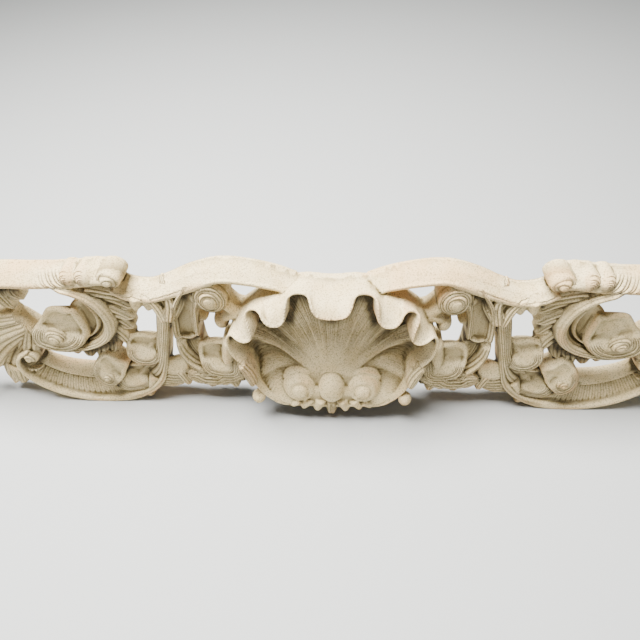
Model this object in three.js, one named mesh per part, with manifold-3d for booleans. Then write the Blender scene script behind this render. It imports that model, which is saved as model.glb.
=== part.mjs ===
// Carved headpiece: an openwork scroll panel with a scallop shell in its middle.
// Millimetres, +Z up, front towards -Y. The origin is below the middle of the panel, on the ground.
// One half is worked out, as points [x, z, half width] with x out from the middle, then mirrored.

import * as THREE from "three";
import { mergeVertices } from "three/addons/utils/BufferGeometryUtils.js";
import Module from "manifold-3d";

const wasm = await Module();
wasm.setup();

// Overall sizes, in millimetres.
const LENGTH = 1312;
const HEIGHT = 311;

// Depths in front of the flat back, in millimetres.
const SHELL_DEPTH = 75;
const SCROLL_DEPTH = 42;
const BAND_DEPTH = 37;
const SKIRT_DEPTH = 38;
const LEAF_DEPTH = 33;
const FINGER_DEPTH = 27;

// The carving is free form: its points are in parts of the length and of the height.
const ACROSS_PART = LENGTH / 1312;
const UP_PART = HEIGHT / 311;

// The shell: its hinge is the centre of the fan, and the lip runs round it.
const HINGE_HEIGHT = 100;
const SHELL_WALL = 6;
const EVEN_REACH = 172;
const FLUTE = 0.4;
const WAVE_END = 78;

// The lip by angle from the top: angle, reach, depth as a share of the shell's, reach of the wall.
const LIP = [
  [0, 163, 0.99, 180],
  [12, 187, 0.61, 187],
  [25, 162, 0.99, 186],
  [34, 187, 0.61, 186],
  [44, 157, 0.96, 178],
  [55, 177, 0.64, 174],
  [67, 144, 0.88, 158],
  [75, 132, 0.72, 142],
  [84, 134, 0.85, 134],
  [100, 120, 0.91, 116],
  [118, 104, 0.92, 98],
  [140, 87, 0.92, 78],
  [160, 76, 0.92, 66],
  [180, 73, 0.91, 62],
];

// Sections across a member: place across from -1 to 1, and height as a share of the depth.
const SECTIONS = {
  gutter: [[-1, 0], [-1, 0.66], [-0.55, 1], [0, 0.66], [1, 0.38], [1, 0]],
  trough: [[-1, 0], [-1, 0.84], [-0.78, 1], [-0.2, 0.54], [1, 0.24], [1, 0]],
  band: [[-1, 0], [-0.6, 0.88], [-0.2, 1], [0.7, 0.5], [1, 0.08], [1, 0]],
  tip: [[-1, 0], [-0.9, 0.62], [0, 1], [0.9, 0.62], [1, 0]],
};

// Long members: kind of section, depth, steps along, and the points of the path.
const MEMBERS = {
  shellBand: ["band", BAND_DEPTH, 10, [
    [50, 277, 8], [80, 289, 10], [118, 298, 11], [150, 300, 11], [185, 287, 13],
    [220, 271, 11], [250, 261, 10], [278, 265, 10], [294, 278, 9]]],
  endBand: ["band", BAND_DEPTH, 11, [
    [270, 292, 11], [305, 296, 13], [345, 291, 13], [400, 288, 13], [455, 288, 13], [510, 278, 13],
    [556, 254, 13], [592, 214, 12], [612, 166, 11], [621, 126, 9]]],
  innerScroll: ["gutter", SCROLL_DEPTH, 11, [
    [378, 282, 8], [350, 274, 11], [331, 256, 12], [323, 232, 13], [324, 208, 13], [332, 185, 13],
    [349, 166, 12], [373, 154, 11], [402, 149, 10], [430, 150, 9], [458, 156, 6]]],
  footScroll: ["trough", SCROLL_DEPTH, 17, [
    [222, 276, 12], [231, 240, 14], [241, 205, 13], [251, 170, 12], [262, 138, 13], [276, 108, 18],
    [300, 76, 28], [335, 48, 35], [376, 34, 37], [420, 33, 36], [460, 47, 32], [488, 76, 24],
    [492, 108, 16], [470, 134, 10]]],
  sideScroll: ["gutter", SCROLL_DEPTH, 9, [
    [176, 288, 8], [196, 268, 14], [209, 238, 20], [216, 206, 22], [219, 172, 19], [222, 140, 17],
    [212, 112, 18], [190, 92, 18]]],
};

// Leaf tips and lobes: depth at the root, share of it at the tip, then root, middle and tip of each.
const TIPS = {
  bandTips: [LEAF_DEPTH, 0.85, [
    [[264, 264, 9], [269, 255, 8], [271, 243, 3]],
    [[242, 262, 9], [248, 246, 8], [251, 232, 3]],
  ]],
  innerFan: [FINGER_DEPTH, 0.89, [
    [[334, 272, 12], [306, 262, 12], [274, 247, 5]],
    [[334, 256, 13], [309, 242, 13], [285, 225, 5]],
    [[328, 236, 13], [309, 223, 12], [289, 204, 5]],
    [[328, 216, 13], [313, 200, 12], [299, 178, 5]],
    [[326, 192, 12], [318, 170, 11], [313, 145, 5]],
    [[334, 170, 11], [340, 146, 10], [349, 120, 5]],
    [[354, 154, 11], [364, 130, 10], [372, 106, 6]],
    [[376, 148, 11], [388, 127, 10], [392, 104, 6]],
    [[392, 150, 9], [402, 134, 8], [410, 117, 4]],
  ]],
  skirt: [SKIRT_DEPTH, 0.87, [
    [[248, 86, 10], [244, 60, 9], [241, 41, 4]],
    [[229, 86, 11], [224, 60, 10], [220, 44, 4]],
    [[208, 86, 11], [203, 56, 11], [199, 35, 4]],
    [[192, 84, 11], [183, 54, 11], [179, 33, 5]],
    [[173, 86, 11], [164, 56, 10], [160, 35, 5]],
    [[155, 90, 11], [151, 67, 10], [147, 50, 5]],
  ]],
  hangers: [SCROLL_DEPTH, 0.95, [
    [[296, 66, 9], [311, 34, 8], [322, 7, 5]],
    [[134, 224, 12], [154, 216, 9], [163, 196, 5]],
    [[108, 58, 12], [127, 38, 11], [131, 18, 7]],
  ]],
  curlTips: [LEAF_DEPTH, 0.85, [
    [[170, 276, 10], [189, 256, 7], [184, 240, 3]],
    [[212, 210, 14], [188, 209, 7], [181, 207, 3]],
    [[150, 268, 12], [130, 246, 10], [118, 222, 12]],
  ]],
  flare: [LEAF_DEPTH, 0.8, [
    [[452, 186, 12], [481, 136, 18], [505, 92, 12]],
    [[446, 186, 14], [514, 102, 24], [564, 19, 5]],
    [[450, 194, 14], [526, 144, 27], [597, 56, 6]],
    [[460, 206, 12], [542, 172, 23], [620, 92, 6]],
    [[522, 86, 16], [534, 54, 13], [538, 28, 4]],
    [[498, 86, 14], [513, 58, 11], [519, 38, 4]],
  ]],
  endTips: [FINGER_DEPTH, 0.89, [
    [[560, 250, 12], [588, 258, 10], [612, 264, 4]],
    [[592, 212, 12], [620, 219, 11], [641, 220, 4]],
    [[610, 168, 12], [636, 167, 10], [655, 161, 4]],
    [[440, 284, 12], [453, 256, 14], [440, 238, 4]],
    [[470, 286, 12], [470, 250, 16], [463, 220, 5]],
    [[528, 270, 12], [522, 232, 14], [500, 194, 8]],
    [[566, 246, 11], [560, 206, 12], [548, 160, 12]],
  ]],
};

// Smooth swelling leaves: depth at the edge and in the middle as shares of the scrolls', then outline.
// They lean forward: the outline at the back is lower than the one in front.
const LEAN = 0.34;
const CUPS = {
  innerLeaf: [0.67, 1, [
    [352, 172], [362, 216], [386, 235], [408, 232], [432, 210], [452, 186], [446, 156], [400, 142]]],
  stemLeaf: [0.67, 0.95, [
    [250, 160], [272, 172], [306, 172], [321, 156], [321, 127], [308, 108], [284, 98], [262, 118]]],
  smallCup: [0.71, 0.95, [
    [234, 118], [262, 114], [281, 78], [298, 46], [293, 34], [264, 36], [242, 54], [232, 84]]],
  shellLeaf: [0.71, 1, [
    [143, 150], [158, 163], [186, 161], [202, 152], [209, 118], [200, 88], [172, 78], [146, 88]]],
  shellLeafRim: [0.57, 0.9, [
    [192, 142], [220, 160], [240, 152], [242, 118], [228, 90], [202, 82], [188, 106]]],
  footLeaf: [0.76, 1.1, [
    [322, 98], [342, 102], [372, 88], [388, 56], [382, 22], [352, 10], [330, 26], [322, 60]]],
};

// Curls seen end on: middle, radius across, radius up, depth as a share of the scrolls'.
const CURLS = [
  [282, 295, 16, 15, 1.07],
  [328, 296, 13, 12, 0.9],
  [164, 265, 24, 27, 0.98],
  [213, 192, 17, 17, 0.93],
  [411, 178, 17, 16, 1.05],
  [364, 60, 14, 22, 1.14],
  [478, 124, 13, 15, 1.05],
  [618, 112, 22, 22, 0.95],
  [122, 133, 16, 22, 1.62],
];

// The base of the shell: a ball between two volutes, and leaf tips that reach the ground.
const BALL = { x: 0, z: 74, across: 21, up: 34, share: 0.93 };
const VOLUTE = { x: 52, z: 70, across: 28, up: 34, share: 1 };
const BASE_TIPS = [
  [[0, 26, 12], [0, 14, 11], [0, -4, 5]],
  [[20, 27, 12], [22, 16, 10], [23, 2, 4]],
  [[39, 30, 11], [43, 21, 9], [46, 10, 4]],
  [[58, 37, 10], [65, 30, 8], [70, 21, 4]],
];
const BASE_TIP_SHARE = 0.8;

const FACET_TOLERANCE = 1.6;

// A closed geometry skinned over rings of equal count, with a fan over each end.
// The rings are in parts across and up, and in millimetres forward.
function skin(rings) {
  const count = rings[0].length;
  const position = [];
  const index = [];
  const middle = (ring) => {
    const sum = new THREE.Vector3();
    ring.forEach((point) => sum.add(point));
    return sum.divideScalar(count);
  };
  rings.flat().forEach((point) => position.push(point.x * ACROSS_PART, point.y, point.z * UP_PART));
  for (let r = 0; r + 1 < rings.length; r++)
    for (let i = 0; i < count; i++) {
      const a = r * count + i;
      const b = r * count + ((i + 1) % count);
      index.push(a, b, a + count, b, b + count, a + count);
    }
  [0, rings.length - 1].forEach((r) => {
    const hub = position.length / 3;
    const centre = middle(rings[r]);
    position.push(centre.x * ACROSS_PART, centre.y, centre.z * UP_PART);
    for (let i = 0; i < count; i++) {
      const a = r * count + i;
      const b = r * count + ((i + 1) % count);
      index.push(...(r ? [a, b, hub] : [b, a, hub]));
    }
  });
  const geometry = new THREE.BufferGeometry();
  geometry.setAttribute("position", new THREE.Float32BufferAttribute(position, 3));
  geometry.setIndex(index);
  return geometry;
}

// The volume inside a geometry, negative when its faces point inwards.
function signedVolume(vertices, triangles) {
  const [a, b, c] = [new THREE.Vector3(), new THREE.Vector3(), new THREE.Vector3()];
  let sum = 0;
  for (let i = 0; i < triangles.length; i += 3) {
    [a, b, c].forEach((corner, k) => corner.fromArray(vertices, 3 * triangles[i + k]));
    sum += a.dot(b.cross(c)) / 6;
  }
  return sum;
}

// A solid for joining and cutting, turned so that its faces point out.
function solid(geometry) {
  const bare = new THREE.BufferGeometry();
  bare.setAttribute("position", geometry.getAttribute("position"));
  bare.setIndex(geometry.getIndex());
  const merged = mergeVertices(bare, 1e-3);
  const vertProperties = merged.attributes.position.array;
  const triVerts = new Uint32Array(merged.index.array);
  if (signedVolume(vertProperties, triVerts) < 0)
    for (let i = 0; i < triVerts.length; i += 3)
      [triVerts[i + 1], triVerts[i + 2]] = [triVerts[i + 2], triVerts[i + 1]];
  return new wasm.Manifold(new wasm.Mesh({ numProp: 3, vertProperties, triVerts }));
}

// A smooth path through points [x, z, half width], sampled evenly: places, normals and widths.
function path(points, steps) {
  const curve = new THREE.CatmullRomCurve3(points.map(([x, z]) => new THREE.Vector3(x, 0, z)));
  const width = new THREE.CatmullRomCurve3(
    points.map(([, , w], i) => new THREE.Vector3(i, w, 0)),
  );
  return Array.from({ length: steps + 1 }, (_, i) => {
    const t = i / steps;
    const tangent = curve.getTangent(t);
    return {
      at: curve.getPoint(t),
      across: new THREE.Vector3(-tangent.z, 0, tangent.x),
      half: Math.max(width.getPoint(t).y, 2),
      share: t,
    };
  });
}

// A member: its section carried along a path, from the flat back forward.
function member(section, depth, steps, points, tipShare = 1) {
  const rings = path(points, steps).map(({ at, across, half, share }) =>
    SECTIONS[section].map(([place, height]) => {
      const point = at.clone().addScaledVector(across, place * half);
      point.y = -height * depth * THREE.MathUtils.lerp(1, tipShare, share);
      return point;
    }),
  );
  return solid(skin(rings));
}

// A swelling with a closed outline: rings drawn in towards the middle, each at its own depth.
// A level that names a foot is lowered towards that height.
function swelling(outline, levels) {
  const centre = new THREE.Vector3();
  outline.forEach((point) => centre.addScaledVector(point, 1 / outline.length));
  const rings = levels.map(([share, depth, foot]) =>
    outline.map((point) => {
      const ringPoint = centre.clone().lerp(point, share);
      ringPoint.y = -depth;
      if (foot !== undefined) ringPoint.z -= LEAN * (ringPoint.z - foot);
      return ringPoint;
    }),
  );
  return solid(skin(rings));
}

// A smooth leaf: full at the edge, swelling to the middle.
function cup(edge, middle, points) {
  const curve = new THREE.CatmullRomCurve3(
    points.map(([x, z]) => new THREE.Vector3(x, 0, z)),
    true,
  );
  const outline = curve.getPoints(10).slice(0, 10);
  const foot = Math.min(...outline.map((point) => point.z));
  return swelling(outline, [[1, 0, foot], [1, edge * SCROLL_DEPTH], [0.55, middle * SCROLL_DEPTH]]);
}

// An ellipse in the panel's plane.
function ellipse(x, z, across, up, sides) {
  return Array.from({ length: sides }, (_, i) => {
    const turn = (2 * Math.PI * i) / sides;
    return new THREE.Vector3(x + across * Math.cos(turn), 0, z + up * Math.sin(turn));
  });
}

// A curl seen end on: a drum with one ring groove round a raised eye.
function curl([x, z, across, up, share]) {
  const depth = share * SCROLL_DEPTH;
  const levels = [[1, 0], [0.95, depth], [0.62, 0.84 * depth], [0.3, 0.96 * depth]];
  return swelling(ellipse(x, z, across, up, 9), levels);
}

// One tip for each row of a group.
function tips([depth, tipShare, rows]) {
  return rows.map((row) => member("tip", depth, 2, row, tipShare));
}

// The lip's reach, depth and wall at an angle from the top, easing between the rows of LIP.
function lipAt(degrees) {
  const next = Math.max(1, LIP.findIndex(([angle]) => angle >= degrees));
  const [low, high] = [LIP[next - 1], LIP[next]];
  const share = (degrees - low[0]) / (high[0] - low[0]);
  const ease = (1 - Math.cos(Math.PI * share)) / 2;
  return low.map((value, i) => THREE.MathUtils.lerp(value, high[i], ease));
}

// Angles right round the lip: each row of LIP, and between rows two places where it waves.
function lipAngles() {
  const down = LIP.slice(1).flatMap(([angle], i) => {
    const shares = angle < WAVE_END ? [0, 0.3, 0.7] : [0, 0.5];
    return shares.map((share) => THREE.MathUtils.lerp(LIP[i][0], angle, share));
  });
  const up = down.slice(1).map((angle) => 360 - angle).reverse();
  return [...down, 180, ...up];
}

// The shell: a fluted basin from the hinge out to the lip, then the wall back to the flat back.
function shell() {
  const angles = lipAngles();
  const ring = (place) =>
    angles.map((angle) => {
      const fromTop = angle > 180 ? 360 - angle : angle;
      const [, reach, share, wall] = lipAt(fromTop);
      const [radius, depth] = place(reach, share * SHELL_DEPTH, wall, fromTop);
      const turn = THREE.MathUtils.degToRad(angle);
      return new THREE.Vector3(radius * Math.sin(turn), -depth, HINGE_HEIGHT + radius * Math.cos(turn));
    });
  const floor = (low, high, reach, fromTop) =>
    SHELL_DEPTH * THREE.MathUtils.lerp(low, high, fromTop / 180) -
    (fromTop < WAVE_END ? FLUTE * (reach - EVEN_REACH) : 0);
  return solid(
    skin([
      ring((reach, edge, wall) => [wall, 0]),
      ring((reach, edge, wall) => [wall + 2, 0.45 * edge]),
      ring((reach, edge) => [reach + SHELL_WALL, 0.93 * edge]),
      ring((reach, edge) => [reach + 2, edge]),
      ring((reach, edge) => [reach - 2, 0.97 * edge]),
      ring((reach, edge, wall, t) => [0.97 * reach, floor(0.4, 0.77, reach, t)]),
      ring((reach, edge, wall, t) => [0.84 * reach, floor(0.2, 0.65, reach, t)]),
      ring((reach, edge, wall, t) => [0.56 * reach, floor(0.21, 0.57, reach, t)]),
      ring((reach, edge, wall, t) => [0.2 * EVEN_REACH, floor(0.36, 0.51, EVEN_REACH, t)]),
    ]),
  );
}

// The ball and the volutes stand on the shell's hinge, and the leaf tips hang below it.
function shellBase() {
  const knob = ({ x, z, across, up, share: height }, levels) =>
    swelling(
      ellipse(x, z, across, up, 14),
      levels.map(([share, level]) => [share, level * height * SHELL_DEPTH]),
    );
  const round = [[1, 0], [1, 0.5], [0.86, 0.78], [0.6, 0.94], [0.25, 1]];
  const scrolled = [[1, 0], [1, 0.55], [0.88, 0.84], [0.7, 0.93], [0.54, 0.8], [0.46, 0.9], [0.2, 1]];
  const parts = [knob(BALL, round)];
  [-1, 1].forEach((side) => {
    parts.push(knob({ ...VOLUTE, x: side * VOLUTE.x }, scrolled));
    BASE_TIPS.forEach((row) => {
      const sided = row.map(([x, z, half]) => [side * x, z, half]);
      parts.push(member("tip", BASE_TIP_SHARE * SHELL_DEPTH, 2, sided));
    });
  });
  return parts;
}

// All members of one half, with x out from the middle.
function halfMembers() {
  return [
    ...Object.values(MEMBERS).map(([section, depth, steps, points]) =>
      member(section, depth, steps, points),
    ),
    ...Object.values(TIPS).flatMap((group) => tips(group)),
    ...Object.values(CUPS).map(([edge, middle, points]) => cup(edge, middle, points)),
    ...CURLS.map((row) => curl(row)),
  ];
}

// The same solid on the other side of the middle.
function mirrored(shape) {
  const mesh = shape.getMesh();
  const vertProperties = Float32Array.from(mesh.vertProperties, (value, i) => (i % 3 ? value : -value));
  const triVerts = new Uint32Array(mesh.triVerts);
  for (let i = 0; i < triVerts.length; i += 3)
    [triVerts[i + 1], triVerts[i + 2]] = [triVerts[i + 2], triVerts[i + 1]];
  return new wasm.Manifold(new wasm.Mesh({ numProp: 3, vertProperties, triVerts }));
}

// A block that trims the feet flat.
function block(size, at) {
  const geometry = new THREE.BoxGeometry(...size);
  geometry.translate(...at);
  return solid(geometry);
}

function joined(parts) {
  return parts.reduce((whole, piece) => whole.add(piece));
}

// The body of greatest volume, without the shards that simplifying can leave.
function largest(shape) {
  const bodies = shape.decompose();
  return bodies.reduce((best, body) => (body.volume() > best.volume() ? body : best));
}

function headpiece() {
  const half = joined(halfMembers());
  const whole = joined([shell(), ...shellBase(), half, mirrored(half)]);
  const ground = block([2 * LENGTH, LENGTH, HEIGHT], [0, 0, -HEIGHT / 2]);
  const trimmed = whole.subtract(ground).simplify(FACET_TOLERANCE);
  const mesh = largest(trimmed).getMesh();
  const geometry = new THREE.BufferGeometry();
  geometry.setAttribute("position", new THREE.Float32BufferAttribute(mesh.vertProperties, 3));
  geometry.setIndex([...mesh.triVerts]);
  geometry.computeBoundingBox();
  const { min, max } = geometry.boundingBox;
  geometry.translate(0, -(min.y + max.y) / 2, 0);
  return geometry;
}

const castStone = new THREE.MeshStandardMaterial({ color: 0xd9cba8, roughness: 0.9, metalness: 0 });

const panel = new THREE.Mesh(headpiece(), castStone);
panel.name = "carved_headpiece";

const part = new THREE.Group();
part.add(panel);

export default part;
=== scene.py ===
# %% [markdown]
# # A carved headpiece in cast stone
# The real object is one casting: a long openwork panel of scrolls and leaves with a scallop shell in
# its middle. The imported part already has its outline, its gaps and its main depths. This script carves
# the finer relief as one piece that stands for that part, and gives it the look of sandy cream stone.
# Everything is worked out in millimetres, as distance out from the middle, height, and depth in front
# of the flat back, and turned into metres at the end.

import bpy
import numpy as np
from mathutils import Matrix, Vector


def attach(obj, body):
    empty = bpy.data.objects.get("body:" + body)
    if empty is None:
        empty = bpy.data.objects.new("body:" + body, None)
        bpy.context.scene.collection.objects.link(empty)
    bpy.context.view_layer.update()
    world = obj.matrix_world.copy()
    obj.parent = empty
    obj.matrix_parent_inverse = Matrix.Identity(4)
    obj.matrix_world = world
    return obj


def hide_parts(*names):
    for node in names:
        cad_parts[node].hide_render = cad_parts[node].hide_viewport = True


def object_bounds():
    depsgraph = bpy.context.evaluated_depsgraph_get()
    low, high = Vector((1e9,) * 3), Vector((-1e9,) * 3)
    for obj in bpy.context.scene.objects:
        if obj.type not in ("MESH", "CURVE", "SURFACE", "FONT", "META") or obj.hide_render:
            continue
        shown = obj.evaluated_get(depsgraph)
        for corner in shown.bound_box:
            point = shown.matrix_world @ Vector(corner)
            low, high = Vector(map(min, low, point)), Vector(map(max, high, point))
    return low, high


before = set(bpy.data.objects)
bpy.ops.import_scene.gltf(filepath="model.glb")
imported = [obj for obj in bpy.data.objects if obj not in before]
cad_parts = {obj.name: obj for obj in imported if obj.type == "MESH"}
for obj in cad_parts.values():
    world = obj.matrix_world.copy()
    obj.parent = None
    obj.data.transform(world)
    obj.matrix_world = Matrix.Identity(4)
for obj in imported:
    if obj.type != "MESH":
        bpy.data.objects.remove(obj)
cad_box = [[float(v) for v in corner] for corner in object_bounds()]
BACK = cad_box[1][1] * 1000
print("packed part, lowest and highest corner:", cad_box)
print("flat back at", BACK, "mm")

# %% [markdown]
# ## Paths and surfaces
# A carver draws a line, gives it a width and then cuts its section. So does this script: a path is a
# smooth curve through a few points, and a ribbon carries a section along it. A section is a function:
# it says how far the front stands out at each share along the path and each place across it.

# %% A smooth path through points
def smooth_path(points, count, closed=False):
    """Catmull-Rom: between two points the curve is a cubic whose slope at each point is half the step
    from the point before it to the point after it. It is then sampled at even steps of length."""
    p = np.asarray(points, float)
    if closed:
        ext = np.vstack([p[-1], p, p[0], p[1]])
        spans = len(p)
    else:
        ext = np.vstack([2 * p[0] - p[1], p, 2 * p[-1] - p[-2]])
        spans = len(p) - 1
    t = np.linspace(0, spans, 60 * spans)
    k = np.minimum(t.astype(int), spans - 1)
    u = (t - k)[:, None]
    a, b, c, d = ext[k], ext[k + 1], ext[k + 2], ext[k + 3]
    q = b + 0.5 * u * (c - a + u * (2 * a - 5 * b + 4 * c - d + u * (3 * b - a - 3 * c + d)))
    length = np.r_[0, np.cumsum(np.hypot(*np.diff(q[:, :2], axis=0).T))]
    even = np.linspace(0, length[-1], count + 1)[:-1] if closed else np.linspace(0, length[-1], count)
    return np.stack([np.interp(even, length, column) for column in q.T], axis=1)


def section(*knots):
    """A smooth curve through knots (place across, height), as a function of the place across."""
    curve = smooth_path(knots, 200)
    return lambda t: np.interp(t, curve[:, 0], curve[:, 1])


def bump(value, middle, width):
    """A rounded hill of height 1: e to the power of minus the squared distance in widths."""
    return np.exp(-(((value - middle) / width) ** 2))


def furrows(phase, sharp=0.75):
    """Round ribs with sharp valleys between them: 1 in a valley, where the phase is a whole number, and
    0 on a rib. It is 1 less the size of the sine of half a turn times the phase, to a power."""
    return 1 - np.abs(np.sin(np.pi * phase)) ** sharp


def step(value, low, high):
    """0 below low, 1 above high, and an even S between them: 3 u squared less 2 u cubed."""
    u = np.clip((value - low) / (high - low), 0, 1)
    return u * u * (3 - 2 * u)


# %% Closed skins over rings of points
pieces = []


def skin(rings, sides=(1, -1), lines=None):
    """Rings of points (out, depth, up) joined by quads, with a fan over the first and the last ring.
    The skin is kept once for each side of the middle, turned so that its faces point out. Lines are two
    values for each point: the phase of the fine lines cut in it, and how deep they are cut, 0 to 1."""
    n, m, _ = rings.shape
    fine = np.zeros((n * m + 2, 2))
    if lines is not None:
        fine[:n * m] = lines.reshape(-1, 2)
    points = np.concatenate([rings.reshape(-1, 3), [rings[0].mean(0)], [rings[-1].mean(0)]])
    j = np.arange(m)
    k = (j + 1) % m
    row = np.arange(n - 1)[:, None] * m
    walls = np.stack([row + j, row + k, row + m + k, row + m + j], axis=-1).reshape(-1, 4)
    tris = np.concatenate([walls[:, [0, 1, 2]], walls[:, [0, 2, 3]],
                           np.stack([k, j, np.full(m, n * m)], 1),
                           np.stack([(n - 1) * m + j, (n - 1) * m + k, np.full(m, n * m + 1)], 1)])
    a, b, c = points[tris[:, 0]], points[tris[:, 1]], points[tris[:, 2]]
    outward = np.einsum("ij,ij->i", a, np.cross(b, c)).sum() < 0
    for side in sides:
        moved = points * [side, 1, 1]
        turn = outward == (side > 0)
        pieces.append((moved, tris if turn else tris[:, ::-1], fine))


def ribbon(points, front, count=120, across=36, round_ends=(0, 0), cuts=None):
    """A ribbon along a path (out, up, half width): its front is front(s, t) mm before the flat back,
    with s the share along the path and t the place across, from -1 to 1. Both edges fall to the back.
    cuts(s, t) gives the phase and the strength of its fine lines."""
    x, z, half = smooth_path(points, count).T
    dx, dz = np.gradient(x), np.gradient(z)
    size = np.hypot(dx, dz)
    s = np.linspace(0, 1, count)[:, None]
    t = np.sin(np.linspace(-np.pi / 2, np.pi / 2, across))[None, :]
    first, last = round_ends
    if first:
        half = half * np.sqrt(np.clip(1 - (1 - np.minimum(s[:, 0] / first, 1)) ** 2, 0.02, 1))
    if last:
        half = half * np.sqrt(np.clip(1 - (1 - np.minimum((1 - s[:, 0]) / last, 1)) ** 2, 0.02, 1))
    depth = np.broadcast_to(front(s, t), (count, across))
    out = x[:, None] - dz[:, None] / size[:, None] * half[:, None] * t
    up = z[:, None] + dx[:, None] / size[:, None] * half[:, None] * t
    face = np.stack([out, np.maximum(depth, 1), up], axis=-1)
    back = face[:, ::-1] * [1, 0, 1]
    phase, strength = cuts(s, t) if cuts else (0, 0)
    lines = np.stack([np.broadcast_to(value, depth.shape) for value in (phase, strength)], axis=-1)
    lines = np.concatenate([lines, lines[:, [-1, 0]] * [1, 0]], axis=1)
    skin(np.concatenate([face, back[:, [0, -1]]], axis=1), (1, -1), lines)


trial = smooth_path([[0, 0, 5], [40, 30, 9], [90, 20, 3]], 4)
print("a path through three points:", trial.round(1).tolist())

# %% [markdown]
# ## The smooth bands
# Two bands run along the top. On the real piece each is a broad surface that slopes from a sharp back
# edge down to a thick front edge, sandy and plain, with one or two lines cut along it. A section with a
# slope and narrow grooves gives that. The outer band has drapery lines where it comes out of the roll.

# %% Bands
BAND = 37.0
slope = section((-1, 0.60), (-0.86, 0.86), (-0.6, 0.97), (-0.2, 0.97), (0.2, 0.80), (0.7, 0.50), (1, 0.10))


def shell_band(s, t):
    """The slope, with a shallow hollow along the line that is cut in its upper part."""
    return BAND * slope(t) - 1.2 * bump(t, 0.30, 0.2) * step(s, 0.40, 0.5)


def single(t, place, width):
    """The phase of one line alone: 0 at its place, and a half to both sides of it."""
    return np.minimum(np.abs(t - place) / width, 0.5)


def shell_band_cuts(s, t):
    """One line along the upper part, and one close to the lower edge nearer the shell."""
    upper = t > -0.1
    strength = np.where(upper, step(s, 0.40, 0.5), 1 - step(s, 0.5, 0.62))
    return np.where(upper, single(t, 0.45, 0.2), single(t, -0.62, 0.2)) + 0 * s, strength


def end_band_cuts(s, t):
    """Drapery lines near the roll, and one long line further out."""
    near = 1 - step(s, 0.26, 0.32)
    fan = 5 * np.hypot((s - 0.09) * 17, t - 0.9)
    drapery = near * bump(s, 0.17, 0.06) * step(t, -0.9, -0.4) * (1 - step(t, 0.4, 0.9))
    return np.where(near > 0.5, fan, single(t, -0.5, 0.25) + 0 * s), drapery + 0.8 * step(s, 0.33, 0.38)


def end_band(s, t):
    """The slope, with curved drapery folds near the roll."""
    fan = furrows(2.5 * np.hypot((s - 0.09) * 17, t - 0.9)) * bump(s, 0.19, 0.07) * step(t, -0.9, -0.4)
    return BAND * slope(t) - 3.0 * fan * (1 - step(t, 0.4, 0.9))


ribbon([[50, 277, 8], [80, 289, 10], [118, 298, 11], [150, 300, 11], [185, 287, 13], [220, 271, 11],
        [250, 261, 10], [278, 265, 10], [294, 278, 9]], shell_band, 180, 44, cuts=shell_band_cuts)
ribbon([[296, 294, 11], [312, 296, 13], [345, 291, 13], [400, 288, 13], [455, 288, 13], [510, 278, 13],
        [556, 254, 13], [592, 214, 12], [612, 166, 11], [621, 126, 9]], end_band, 300, 44,
       cuts=end_band_cuts)
print("bands:", len(pieces), "skins")

# %% [markdown]
# ## The scrolls
# The C scroll is a rounded back with a thin rim on its inner side. The side scroll is a hollow between
# two rims, with a round lower end. The foot scroll is the longest: a stem of parallel ribs that widens
# into a trough, with short slanted ribs in its floor. All three are ribbons and differ only in their
# section and in the grooves that run along or across it, so each is one function.

# %% C scroll and side scroll
SCROLL = 42.0
HOLLOW_END = 0.53
c_section = section((-1, 0.40), (-0.85, 0.68), (-0.6, 0.90), (-0.3, 1.0), (0.0, 0.93), (0.3, 0.72),
                    (0.56, 0.52), (0.72, 0.62), (0.86, 0.72), (0.95, 0.66), (1, 0.40))
hollow_wall = section((0, 0.64), (0.3, 0.66), (0.52, 0.73), (0.68, 0.84), (0.84, 0.95), (1.0, 0.91),
                      (1.3, 0.80), (14, 0.80))


def c_scroll(s, t):
    """The C section, with fine grooves along its back and deeper ones at its lower end."""
    along = furrows(2.4 * t + 0.35) * (1 - step(t, 0.25, 0.45)) * (1.4 + 2.4 * step(s, 0.5, 0.72))
    return SCROLL * c_section(t) * (1 - 0.12 * step(s, 0.8, 1)) * (0.75 + 0.25 * step(s, 0, 0.1)) - along


def from_axis(s, t):
    """The distance, in half widths, from the axis of the hollow. Past its end the way along the path
    counts too, 11 half widths to the whole path, so that the end is round."""
    return np.hypot(np.where(t < 0, 0.86 * t, t), np.maximum(s - HOLLOW_END, 0) * 11)


def below_hollow(s, t):
    """0 in the hollow and on its rims, 1 in the part below its round end."""
    return step(from_axis(s, t), 1.0, 1.5) * step(s, 0.5, 0.56)


def side_scroll(s, t):
    """A hollow with a round lower end and rims round it. Below it a smooth dip and a ribbed outer rim."""
    low = below_hollow(s, t)
    dip = 0.56 + 0.40 * step(t, 0.1, 0.7) - 0.10 * step(t, 0.85, 1)
    ribs = 3.4 * furrows(2.6 * t + 2.0 * s) * low * step(t, -0.1, 0.3)
    gap = from_axis(s, t)
    end = 0.22 * step(gap, 0.5, 0.8) * step(s, 0.5, 0.58) * (1 - step(t, 0.2, 0.7))
    high = hollow_wall(gap) - 0.12 * step(np.abs(t), 0.9, 1) - end
    return SCROLL * (high * (1 - low) + dip * low) * (0.55 + 0.45 * step(s, 0, 0.12)) - ribs


def side_scroll_cuts(s, t):
    """Lines that follow the rims of the hollow, and slanted ones below it."""
    low = below_hollow(s, t)
    rim = step(from_axis(s, t), 0.4, 0.55)
    return (np.where(low > 0.5, 5.2 * t + 4 * s, 6 * from_axis(s, t)),
            np.where(low > 0.5, step(t, -0.3, 0.1) * step(low, 0.7, 1), rim * (1 - step(low, 0, 0.3))))


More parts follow.
